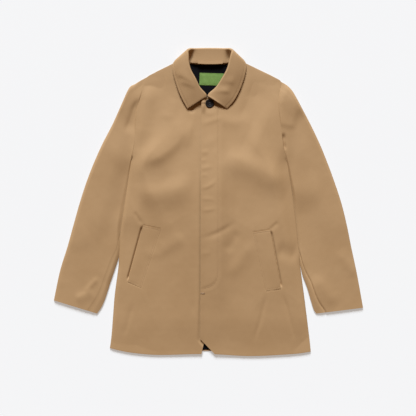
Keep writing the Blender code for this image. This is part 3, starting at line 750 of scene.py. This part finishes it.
SLEEVE_FOLDS = columns(
    "x0 y0 x1 y1 bow left right height",
    # the right sleeve
    (-285, 262, -186, 326, 0, 40, 40, 1.6),
    (-246, 196, -208, 302, 0, 9, 30, -2.8),
    (-290, 112, -200, 150, 0, 40, 30, 1.0),
    (-262, -70, -232, 135, 0, 22, 14, -2.5),
    (-350, -160, -250, 250, 0, 60, 30, 3.6),
    (-425, -125, -335, -98, 0, 40, 28, 1.2),
    (-366, -264, -322, -216, 0, 7, 8, 1.3),
    (-395, -284, -335, -256, 0, 10, 18, 1.8),
    # the left sleeve
    (190, 322, 290, 266, 0, 60, 36, 4.4),
    (186, 232, 256, 222, 0, 90, 10, 1.8),
    (212, 201, 215, 148, 0, 6, 7, -4.4),
    (214, 178, 221, 88, 0, 6, 7, -3.0),
    (354, -150, 254, 250, 0, 30, 60, 3.2),
    (222, 20, 335, 36, 0, 44, 36, 2.4),
    (306, -290, 246, 60, 0, 16, 26, -3.0),
    (368, -138, 432, -222, 0, 20, 16, 1.4),
    (298, -210, 372, -306, 0, 22, 26, 2.2),
)
RIGHT_FOREARM = columns("row inset", (6.8, 0.0), (7.6, 14.0), (8.8, 25.0), (13.0, 27.0))
LEFT_FOREARM = columns("row inset", (7.2, 0.0), (8.0, 10.0), (10.0, 20.0), (13.0, 26.0))
RIGHT_SEAM = {"depth": 0.7, "width": 1.6, "cuff_drop": 2.4}
LEFT_SEAM = {"depth": 2.2, "width": 2.2, "cuff_drop": 3.0}
LAST_ROW = 13


def sleeve_plan(side, rows, across):
    """Where a sleeve's points lie seen from above: rows from the armhole to the cuff."""
    sections, edge = (RIGHT_SLEEVE, RIGHT_EDGE) if side < 0 else (LEFT_SLEEVE, LEFT_EDGE)
    tip, underarm = (RIGHT_TIP, RIGHT_UNDERARM) if side < 0 else (LEFT_TIP, LEFT_UNDERARM)
    numbers = np.arange(LAST_ROW + 1)
    outer_x, outer_y, inner_x, inner_y = (
        follow(rows, numbers, column) for column in sections.values()
    )
    beside = edge_x(edge, inner_y) + side * SLEEVE_CLEARANCE
    inner_x = side * np.maximum(side * inner_x, side * beside)
    seam_y = tip + (underarm - tip) * across
    seam_x = edge_x(edge, seam_y) + side * ARMHOLE_GAP
    x = outer_x[:, None] + (inner_x - outer_x)[:, None] * across
    y = outer_y[:, None] + (inner_y - outer_y)[:, None] * across
    bulge = seam_x - (seam_x[0] + (seam_x[-1] - seam_x[0]) * across)
    x = x + bulge * ramp(rows, SLEEVE_HEAD_ROWS, 0)[:, None]
    x[0], y[0] = seam_x, seam_y
    return x, y


def sleeve_top(side, rows, across):
    """The upper half of a sleeve: it starts at the front's height along the armhole, rolls down at
    both edges and comes down towards the cuff."""
    x, y = sleeve_plan(side, rows, across)
    number = rows[:, None]
    seam, sewn = (RIGHT_FOREARM, RIGHT_SEAM) if side < 0 else (LEFT_FOREARM, LEFT_SEAM)
    from_outer = np.hypot(x - x[:, :1], y - y[:, :1])
    from_inner = np.hypot(x - x[:, -1:], y - y[:, -1:])
    from_armhole = np.hypot(x - x[:1], y - y[:1])
    beside_body = ramp(number, 8.5, 7)
    rolled = 1 - (1 - np.clip(from_inner / SLEEVE_ROLL, 0, 1)) ** 1.6
    come_up = rolled * (1 - beside_body) + ramp(from_inner, 0, UNDERARM_ROLL) * beside_body
    lift = turned_down(from_outer, SLEEVE_ROLL) * (1 - ramp(number, 0, 2) * (1 - come_up))
    lowest = SLEEVE_WALL + SEAM_GAP
    loose = LONG_WAVE * soft_waves(x, y, 110, 1.3 + side)
    loose = loose + SHORT_WAVE * soft_waves(x, y, 38, 0.4 + side)
    inset = np.interp(number, seam["row"], seam["inset"])
    has_seam = ramp(number, seam["row"][0], seam["row"][0] + 0.5)
    sunk = hump(from_inner - inset, sewn["width"]) * has_seam
    step = ramp(from_inner, inset, inset - 4) * has_seam
    z = lowest + (SLEEVE_WALL + SLEEVE_AIR - lowest + loose) * lift
    z = z - sewn["depth"] * sunk - FOREARM_STEP * step * lift
    at_armhole = front_top(x[0], y[0], side) - SLEEVE_WALL
    z = z + (at_armhole - z[0]) * ramp(number, SLEEVE_HEAD_ROWS, 0)
    z = z - sewn["cuff_drop"] * ramp(number, 9.5, LAST_ROW) * lift
    z = z + fold_height(SLEEVE_FOLDS, x, y) * lift * ramp(from_armhole, 0, 5)
    return np.stack([x, y, np.maximum(z, lowest) + SLEEVE_WALL], axis=-1)


for side, name in ((-1, "right"), (1, "left")):
    rows = np.concatenate([np.linspace(0, 1, 24), np.linspace(1.05, LAST_ROW, 205)])
    upper = cloth_shell(
        f"sleeve_{name}_upper", sleeve_top(side, rows, spread(76, 0.6)), SLEEVE_WALL, GABARDINE,
        "gabardine", f"sleeve_{name}_top",
    )
    x, y = sleeve_plan(side, np.linspace(0, LAST_ROW, 90), spread(24))
    under = cloth_shell(
        f"sleeve_{name}_lower", np.stack([x, y, np.full_like(x, SLEEVE_WALL)], axis=-1), SLEEVE_WALL,
        GABARDINE, "gabardine", f"sleeve_{name}_under",
    )

# The collar
# A turn-down collar of doubled gabardine. The stand rises from the neck seam at the back, and the
# fall rolls over it and lies open in two pointed leaves, edge-stitched, whose points stand clear.
COLLAR_WALL = 1.8
ROLL_RADIUS = 3.2
COLLAR = columns(
    "seam_out seam_y seam_z roll_out roll_lean roll_y roll_z "
    "edge_out edge_lean edge_y edge_z turn stand_share",
    (4.9, 306.0, 9.2, 1.6, -3.0, 306.5, 13.0, 57.0, -1.5, 270.5, 12.0, 0, 0.0),
    (10.0, 308.5, 8.9, 4.4, -3.0, 313.0, 14.5, 61.0, -0.9, 276.0, 12.8, 0, 0.0),
    (28.1, 319.9, 7.8, 23.4, -1.6, 332.0, 18.0, 73.8, 1.2, 294.4, 13.2, 0, 0.0),
    (50.7, 341.6, 7.8, 37.9, -0.5, 356.7, 21.0, 87.0, 1.5, 320.5, 12.2, 0, 0.0),
    (67.6, 367.1, 7.6, 51.5, -1.2, 381.4, 22.0, 97.0, 1.3, 348.0, 10.8, 0, 0.0),
    (76.6, 391.5, 7.4, 57.8, -1.5, 403.1, 21.5, 104.0, 0.5, 372.7, 10.2, 0, 0.1),
    (79.9, 409.5, 6.2, 60.6, -0.5, 423.4, 20.5, 106.5, 0.0, 391.5, 9.0, 25, 0.55),
    (75.6, 411.5, 5.0, 63.2, 0.0, 436.5, 19.0, 103.8, 0.0, 405.0, 7.0, 75, 0.7),
    (64.3, 404.5, 4.2, 58.0, 0.0, 444.0, 16.5, 90.5, 0.0, 417.0, 2.2, 140, 0.7),
    (49.1, 401.5, 3.9, 43.5, 0.0, 445.2, 8.6, 66.0, 0.0, 410.0, 0.9, 172, 0.7),
    (27.3, 400.0, 3.9, 24.7, 0.0, 445.9, 7.0, 34.6, 0.0, 403.5, 0.9, 180, 0.7),
    (0.0, 399.5, 3.9, 0.0, 0.0, 446.3, 7.0, 0.0, 0.0, 402.5, 0.9, 180, 0.7),
)
COLLAR_FOLDS = columns(
    "x0 y0 x1 y1 bow left right height",
    # the right leaf
    (-104, 376, -36, 344, 0, 16, 8, 1.7),
    (-94, 352, -32, 332, 0, 10, 8, 1.3),
    # the left leaf
    (-4, 326, 66, 319, 0, 14, 8, 1.7),
    (20, 354, 78, 346, 0, 14, 9, 1.3),
)
STAND_FIRST_ROW, BACK_ROW = 8, 11
STAND_BOW, STAND_TUCK = 5.5, 5.0
LEFT_END_LIFT, LEFT_END_ROWS = 3.0, 2.5
LEAF_BOW, LEFT_END_BOW = 2.0, 3.5
EDGE_STITCH_INSET, EDGE_STITCH_SINK = 6.5, 0.35
LEAF_WAVE = 0.3
COLLAR_STEPS = 122
UPWARDS = np.array((0, 0, 1.0))


def collar_sections():
    """Sections of the collar from its right front end round the back to its left one."""
    steps = np.linspace(0, BACK_ROW, COLLAR_STEPS)
    half = {name: follow(steps, np.arange(BACK_ROW + 1), column) for name, column in COLLAR.items()}
    found = []
    for side, order in ((-1, range(COLLAR_STEPS)), (1, range(COLLAR_STEPS - 2, -1, -1))):
        for number in order:
            row = {name: column[number] for name, column in half.items()}
            raised = LEFT_END_LIFT * np.clip(1 - steps[number] / LEFT_END_ROWS, 0, 1) * (side > 0)
            ends = {"row": steps[number], "side": side, "turn": np.radians(row["turn"])}
            ends["share"] = row["stand_share"]
            for end in ("seam", "roll", "edge"):
                level = row[end + "_y"]
                across = collar_axis(level) + side * row[end + "_out"] + row.get(end + "_lean", 0)
                ends[end] = np.array((across, level, row[end + "_z"] + raised * (end == "roll")))
            found.append(ends)
    return found


def stand_bow(share, row):
    """How far the stand bows up from the neck seam, at 0, to the roll, at 1, less its tucked corners."""
    share = np.clip(share, 0, 1)
    tuck = STAND_TUCK * np.sin(np.pi * share) * hump(row - 8.55, 0.42)
    return STAND_BOW * np.sin(np.pi * share**0.25) * ramp(row, 8, 9.5) - tuck


def collar_profile(row, side, turn, share, seam, roll, edge):
    """The stand and the fall of one section, from the neck seam over the roll to the leaf's edge."""
    inward = (seam + edge) / 2 - roll
    inward[2] = 0
    inward /= np.linalg.norm(inward)
    outward = side * np.array((-inward[1], inward[0], 0.0))
    up = np.cos(turn) * UPWARDS + np.sin(turn) * outward
    centre = roll + inward * ROLL_RADIUS
    angles = np.radians(np.linspace(-90, 90, 13))[:, None]
    arc = centre + ROLL_RADIUS * (np.sin(angles) * up - np.cos(angles) * inward)
    stand_steps = share * np.linspace(0, 1, 12)[:, None]
    under_steps = share + (1 - share) * np.linspace(0.004, 0.9, 7)[:, None]
    stand, under = (
        seam + (arc[0] - seam) * steps + stand_bow(steps, row) * UPWARDS
        for steps in (stand_steps, under_steps)
    )
    t = spread(36, 0.35)[1:, None]
    leaf = arc[-1] + (edge - arc[-1]) * t
    in_leaf = ramp(row, 8.5, 6.5)
    from_edge = (1 - t) * np.linalg.norm(edge - arc[-1])
    x, y = leaf[:, :1], leaf[:, 1:2]
    wave = LEAF_WAVE * np.sin(x / 13 + y / 19 + side)
    raised = (LEAF_BOW + wave + fold_height(COLLAR_FOLDS, x, y)) * np.sin(np.pi * t)
    raised = (raised - EDGE_STITCH_SINK * hump(from_edge - EDGE_STITCH_INSET, 1.3)) * in_leaf
    if side > 0:
        at_end = np.clip(1 - row / LEFT_END_ROWS, 0, 1)
        raised = raised + LEFT_END_BOW * np.sin(np.pi * t**0.6) * at_end
    leaf = leaf + raised * UPWARDS
    return stand, np.concatenate([under, arc, leaf])


def rolled_cloth(name, points, wall, material, slot, *nodes):
    """A sheet that turns over itself, thickened to both sides."""
    piece = finish_piece(cloth_grid(points), name, material, slot, *nodes)
    thicken = piece.modifiers.new("wall", "SOLIDIFY")
    thicken.thickness = wall * MM
    thicken.offset = 0
    made = piece.evaluated_get(bpy.context.evaluated_depsgraph_get())
    piece.data = bpy.data.meshes.new_from_object(made)
    piece.modifiers.clear()
    piece.data.set_sharp_from_angle(angle=SHARP_ANGLE)
    return piece


sections = collar_sections()
profiles = [collar_profile(**section) for section in sections]
in_stand = [section["row"] >= STAND_FIRST_ROW for section in sections]
stand = rolled_cloth(
    "collar_stand_cloth", np.array([p[0] for p, kept in zip(profiles, in_stand) if kept]), COLLAR_WALL,
    GABARDINE, "gabardine", "collar_stand",
)
fall_points = np.array([p[1] for p in profiles])
fall = rolled_cloth(
    "collar_fall_cloth", fall_points, COLLAR_WALL, GABARDINE, "gabardine", "collar_fall"
)

LEAF_START = 20
STITCHED_TO_ROW = 7.2
bm = bmesh.new()
lift = np.array((0, 0, COLLAR_WALL / 2 + 0.1))
edge_rows = [k for k, section in enumerate(sections) if section["row"] <= STITCHED_TO_ROW]
lines = [fall_points[k][LEAF_START:-3] for k in (3, len(sections) - 4)]
for half in np.array_split(edge_rows, 2):
    line = []
    for k in half:
        leaf = fall_points[k][LEAF_START:]
        run = np.linalg.norm(leaf - leaf[-1], axis=1)
        line.append([np.interp(EDGE_STITCH_INSET, run[::-1], column[::-1]) for column in leaf.T])
    lines.append(np.array(line))
for line in lines:
    stitch_row(bm, line + lift, pitch=3.0, length=2.3, radius=0.38)
finish_piece(bm, "collar_stitches", COAT_THREAD, "gabardine")

# The hanger loop
# A narrow folded strip of gabardine, sewn at both ends to the inside of the stand.
LOOP_WALL = 1.2
LOOP_MIDDLE, LOOP_HALF, LOOP_WIDTH = 1.0, 36.0, 8.0
LOOP_LEVEL, LOOP_TOP, LOOP_SAG = 405.0, 409.0, 1.5
LOOP_CLEARANCE, LOOP_TILT = 0.45, 0.08
back_row = {name: column[BACK_ROW] for name, column in COLLAR.items()}
stand_height = back_row["roll_y"] - ROLL_RADIUS - back_row["seam_y"]
up_stand = (LOOP_TOP - back_row["seam_y"]) / stand_height
stand_rise = back_row["roll_z"] + ROLL_RADIUS - back_row["seam_z"]
on_stand = back_row["seam_z"] + stand_rise * up_stand + stand_bow(up_stand, BACK_ROW)
x = np.linspace(LOOP_MIDDLE - LOOP_HALF, LOOP_MIDDLE + LOOP_HALF, 49)[:, None]
sag = LOOP_SAG * (1 - ((x - LOOP_MIDDLE) / LOOP_HALF) ** 2)
y = LOOP_LEVEL - sag + LOOP_WIDTH * np.linspace(-0.5, 0.5, 9)[None, :]
z = on_stand + COLLAR_WALL / 2 + LOOP_CLEARANCE + LOOP_WALL + LOOP_TILT * (LOOP_TOP - y)
loop = cloth_shell(
    "hanger_loop_cloth", np.stack(np.broadcast_arrays(x, y, z), axis=-1), LOOP_WALL, GABARDINE,
    "gabardine", "hanger_loop",
)

# The neck button
# A dark horn-like button with a raised rim and four holes, sewn on with dark thread. It is done up
# through a stitched buttonhole at the top of the fly.
BUTTON_PLACE = (-1.0, 285.2)
BUTTON_CLEARANCE = 0.45
BUTTON_SECTION = columns(
    "out up",
    (0.0, 0.2), (7.0, 0.2), (10.5, 0.6), (12.2, 1.5), (12.5, 2.3), (12.0, 3.2), (11.0, 3.6),
    (9.9, 3.4), (8.6, 2.8), (6.0, 2.5), (0.0, 2.4),
)
HOLE_OUT, HOLE_RADIUS, HOLE_DEPTH, HOLE_LEVEL = 2.6, 1.1, 8.0, 2.0
SEWING_LEVEL = 2.6
BUTTONHOLE_SIDES = (285.9, 288.7)
BUTTONHOLE_STITCHES = np.arange(-25.0, -11.0, 0.9)
BUTTONHOLE_REACH = 1.2
button_horn = bpy.data.materials.new("button_horn")
button_horn.use_nodes = True
horn_nodes, horn_links = button_horn.node_tree.nodes, button_horn.node_tree.links
horn = horn_nodes["Principled BSDF"]
horn.inputs["Roughness"].default_value = 0.42
horn.inputs["Specular IOR Level"].default_value = 0.12
horn_place = horn_nodes.new("ShaderNodeTexCoord")
horn_streaks = horn_nodes.new("ShaderNodeTexNoise")
horn_streaks.inputs["Scale"].default_value = 160
horn_shade = horn_nodes.new("ShaderNodeValToRGB")
horn_shade.color_ramp.elements[0].color = (0.005, 0.005, 0.006, 1)
horn_shade.color_ramp.elements[1].color = (0.016, 0.013, 0.013, 1)
horn_links.new(horn_place.outputs["Object"], horn_streaks.inputs["Vector"])
horn_links.new(horn_streaks.outputs["Fac"], horn_shade.inputs["Fac"])
horn_links.new(horn_shade.outputs["Color"], horn.inputs["Base Color"])

button_base = float(front_top(*BUTTON_PLACE, 1)) + BUTTON_CLEARANCE
button_spot = Vector((np.array((*BUTTON_PLACE, button_base)) + CENTRE_SHIFT) * MM)
bm = bmesh.new()
section = [bm.verts.new((out * MM, 0, up * MM)) for out, up in zip(*BUTTON_SECTION.values())]
lines = [bm.edges.new(pair) for pair in zip(section[:-1], section[1:])]
bmesh.ops.spin(
    bm, geom=section + lines, cent=(0, 0, 0), axis=(0, 0, 1), dvec=(0, 0, 0), angle=2 * np.pi,
    steps=48, use_merge=True, use_duplicate=False,
)
bmesh.ops.remove_doubles(bm, verts=bm.verts[:], dist=1e-6)
bmesh.ops.recalc_face_normals(bm, faces=bm.faces[:])
bmesh.ops.translate(bm, verts=bm.verts[:], vec=button_spot)
button = finish_piece(bm, "neck_button_horn", button_horn, "button", "neck_button")
bm = bmesh.new()
for across in (-1, 1):
    for along in (-1, 1):
        spot = button_spot + Vector((across * HOLE_OUT, along * HOLE_OUT, HOLE_LEVEL)) * MM
        bmesh.ops.create_cone(
            bm, cap_ends=True, segments=14, radius1=HOLE_RADIUS * MM, radius2=HOLE_RADIUS * MM,
            depth=HOLE_DEPTH * MM, matrix=Matrix.Translation(spot),
        )
hole_mesh = bpy.data.meshes.new("button_holes")
bm.to_mesh(hole_mesh)
bm.free()
hole_cutter = bpy.data.objects.new("button_holes", hole_mesh)
bpy.context.scene.collection.objects.link(hole_cutter)
drill = button.modifiers.new("holes", "BOOLEAN")
drill.operation = "DIFFERENCE"
drill.solver = "EXACT"
drill.object = hole_cutter
drilled = button.evaluated_get(bpy.context.evaluated_depsgraph_get())
drilled_mesh = bpy.data.meshes.new_from_object(drilled)
button.modifiers.clear()
button.data = drilled_mesh
bpy.data.objects.remove(hole_cutter)

DARK_THREAD = thread("button_thread", (0.010, 0.010, 0.014), (0.030, 0.030, 0.036))
bm = bmesh.new()
for along in (-1, 1):
    y = BUTTON_PLACE[1] + along * HOLE_OUT
    holes = [BUTTON_PLACE[0] - HOLE_OUT, BUTTON_PLACE[0] + HOLE_OUT]
    ends = np.array([(x, y, button_base + SEWING_LEVEL) for x in holes])
    for shift in (-0.5, 0, 0.5):
        strand = ends + np.array((0, shift, 0.1 - abs(shift) * 0.4))
        stitch_row(bm, strand, pitch=2 * HOLE_OUT, length=6.4, radius=0.42)
finish_piece(bm, "button_sewing", DARK_THREAD, "button")

bm = bmesh.new()
for level in BUTTONHOLE_SIDES:
    for at in BUTTONHOLE_STITCHES:
        ends = ((at, level - BUTTONHOLE_REACH), (at, level + BUTTONHOLE_REACH))
        over = on_front(ends, 1, lift=0.3, step=1.0)
        stitch_row(bm, over, pitch=2 * BUTTONHOLE_REACH, length=2.6, radius=0.42)
finish_piece(bm, "buttonhole_stitches", COAT_THREAD, "gabardine")

# The floor, the light and the camera
# A plain pale studio floor, a soft lamp that shines down over the collar towards the hem, and a
# camera straight above the coat.
FLOOR_SIZE = 60.0
FLOOR_GLOW = 0.36
LAMP_ENERGY, LAMP_COLOUR, LAMP_SPREAD = 6.1, (0.97, 1.06, 1.15), np.radians(24)
LAMP_DIRECTION = (0.10, -0.88, -0.47)
WORLD_COLOUR, WORLD_STRENGTH = (1, 0.6, 0.3, 1), 0.2
CAMERA_PLACE = (-0.0008, -0.01713, 3.2)
PHOTO_LEVEL = 0.008
PHOTO_WIDTH = 1.2064
SENSOR_WIDTH = 36
bm = bmesh.new()
bmesh.ops.create_grid(bm, x_segments=1, y_segments=1, size=FLOOR_SIZE)
floor_mesh = bpy.data.meshes.new("floor")
bm.to_mesh(floor_mesh)
bm.free()
floor_paint = bpy.data.materials.new("floor_paint")
floor_paint.use_nodes = True
floor_shader = floor_paint.node_tree.nodes["Principled BSDF"]
floor_shader.inputs["Base Color"].default_value = (0.5, 0.5, 0.5, 1)
floor_shader.inputs["Emission Color"].default_value = (1, 1, 1, 1)
floor_shader.inputs["Emission Strength"].default_value = FLOOR_GLOW
floor_shader.inputs["Roughness"].default_value = 0.9
floor_mesh.materials.append(floor_paint)
floor = bpy.data.objects.new("floor", floor_mesh)
bpy.context.scene.collection.objects.link(floor)

world = bpy.data.worlds.new("studio")
bpy.context.scene.world = world
world.use_nodes = True
surround = world.node_tree.nodes["Background"]
surround.inputs["Color"].default_value = WORLD_COLOUR
surround.inputs["Strength"].default_value = WORLD_STRENGTH
lamp = bpy.data.lights.new("softbox", "SUN")
lamp.energy = LAMP_ENERGY
lamp.color = LAMP_COLOUR
lamp.angle = LAMP_SPREAD
softbox = bpy.data.objects.new("softbox", lamp)
softbox.rotation_euler = Vector(LAMP_DIRECTION).to_track_quat("-Z", "Y").to_euler()
bpy.context.scene.collection.objects.link(softbox)

lens = bpy.data.cameras.new("camera")
lens.sensor_width = SENSOR_WIDTH
lens.lens = SENSOR_WIDTH * (CAMERA_PLACE[2] - PHOTO_LEVEL) / PHOTO_WIDTH
camera = bpy.data.objects.new("camera", lens)
camera.location = CAMERA_PLACE
bpy.context.scene.collection.objects.link(camera)
bpy.context.scene.camera = camera
bpy.context.scene.view_settings.view_transform = "Standard"
